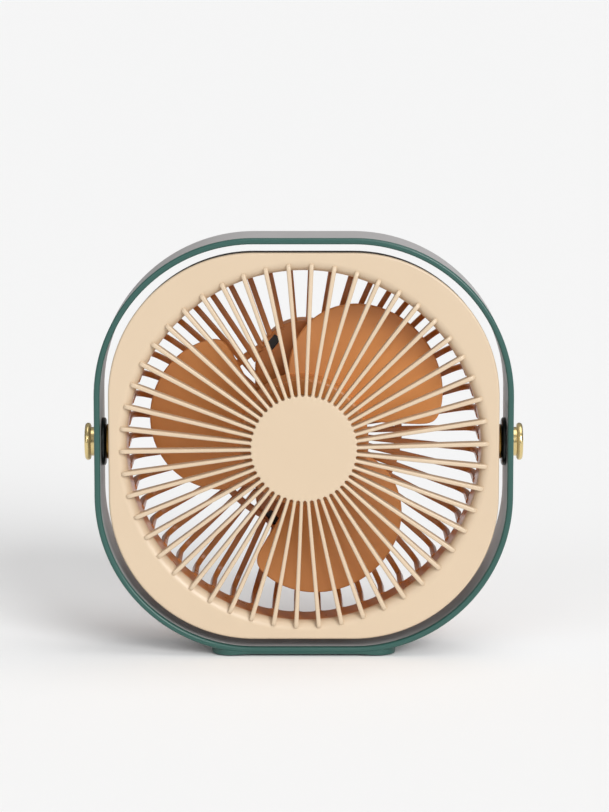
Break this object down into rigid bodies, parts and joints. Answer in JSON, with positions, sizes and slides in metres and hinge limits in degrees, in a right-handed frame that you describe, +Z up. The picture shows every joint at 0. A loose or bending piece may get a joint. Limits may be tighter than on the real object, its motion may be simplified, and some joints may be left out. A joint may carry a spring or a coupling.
{
  "type": "desk fan",
  "caption": "Small desk fan: a square round-cornered head with a radial-rib grille and petal blades, tilting on side knobs inside an upright ring stand with a low foot.",
  "frame": {"origin": "on the desk under the middle of the fan's bounding box", "axes": "+X to the right as seen from the front, along the tilt axis; +Y towards the back, against the air stream; +Z up"},
  "size_m": [0.158, 0.0546, 0.1512],
  "materials": {
    "ring_grey": "satin moulded ABS",
    "stand_green": "satin moulded ABS, deep green",
    "pad_rubber": "matte",
    "screw_steel": "zinc plated",
    "washer_rubber": "satin",
    "grille_cream": "satin moulded ABS, cream",
    "frame_brown": "satin moulded ABS, dark brown",
    "cage_tan": "glossy moulded ABS, tan",
    "knob_gold": "polished, lacquered",
    "insert_brass": "turned",
    "motor_aluminium": "turned",
    "bearing_bronze": "sintered bronze",
    "board_laminate": "solder mask over laminate",
    "core_steel": "stamped steel",
    "coil_copper": "enamelled copper wire",
    "lead_red": "PVC insulation",
    "film_black": "black PET film and moulded nylon",
    "foam_grey": "double-sided foam",
    "cell_blue": "laminated pouch",
    "socket_steel": "nickel plated",
    "lens_clear": "frosted acrylic",
    "blade_tan": "glossy moulded ABS, tan",
    "magnet_ferrite": "bonded ferrite",
    "shaft_steel": "ground steel",
    "button_cream": "satin moulded ABS, cream"
  },
  "bodies": {
    "stand": {"stand_ring": "ring_grey", "front_trim": "stand_green", "base_foot": "stand_green", "foot_pads": "pad_rubber", "foot_screws": "screw_steel", "tilt_washer_left": "washer_rubber", "tilt_washer_right": "washer_rubber"},
    "head": {"front_grille": "grille_cream", "middle_frame": "frame_brown", "rear_cage": "cage_tan", "rear_cover": "cage_tan", "case_screws": "screw_steel", "spacer_disc_left": "knob_gold", "spacer_disc_right": "knob_gold", "pivot_inserts": "insert_brass", "motor_base": "motor_aluminium", "motor_screws": "screw_steel", "motor_bearings": "bearing_bronze", "motor_board": "board_laminate", "stator_core": "core_steel", "stator_coils": "coil_copper", "motor_leads": "lead_red", "insulation_sheet": "film_black", "battery_pad": "foam_grey", "battery_cell": "cell_blue", "battery_leads": "lead_red", "circuit_board": "board_laminate", "board_screws": "screw_steel", "usb_socket": "socket_steel", "switch_body": "film_black", "light_lens": "lens_clear"},
    "rotor": {"impeller": "blade_tan", "rotor_can": "core_steel", "magnet_ring": "magnet_ferrite", "motor_shaft": "shaft_steel", "shaft_clip": "screw_steel"},
    "button": {"power_button": "button_cream", "switch_plunger": "button_cream"},
    "left_knob": {"knob_left": "knob_gold"},
    "right_knob": {"knob_right": "knob_gold"}
  },
  "joints": [
    {"name": "head_tilt", "type": "hinge", "parent": "stand", "child": "head", "pos_m": [0, -0.0093, 0.0762], "axis": [1, 0, 0], "continuous": true},
    {"name": "fan_spin", "type": "hinge", "parent": "head", "child": "rotor", "pos_m": [0, -0.0093, 0.0762], "axis": [0, -1, 0], "continuous": true},
    {"name": "power_button_press", "type": "slide", "parent": "head", "child": "button", "axis": [0, -1, 0], "range_m": [0, 0.0006], "stiffness_N_per_m": 1000, "springref_m": -0.0003},
    {"name": "left_knob_turn", "type": "hinge", "parent": "head", "child": "left_knob", "pos_m": [-0.0754, -0.0093, 0.0762], "axis": [-1, 0, 0], "range_deg": [0, 360]},
    {"name": "right_knob_turn", "type": "hinge", "parent": "head", "child": "right_knob", "pos_m": [0.0754, -0.0093, 0.0762], "axis": [1, 0, 0], "range_deg": [0, 360]}
  ]
}
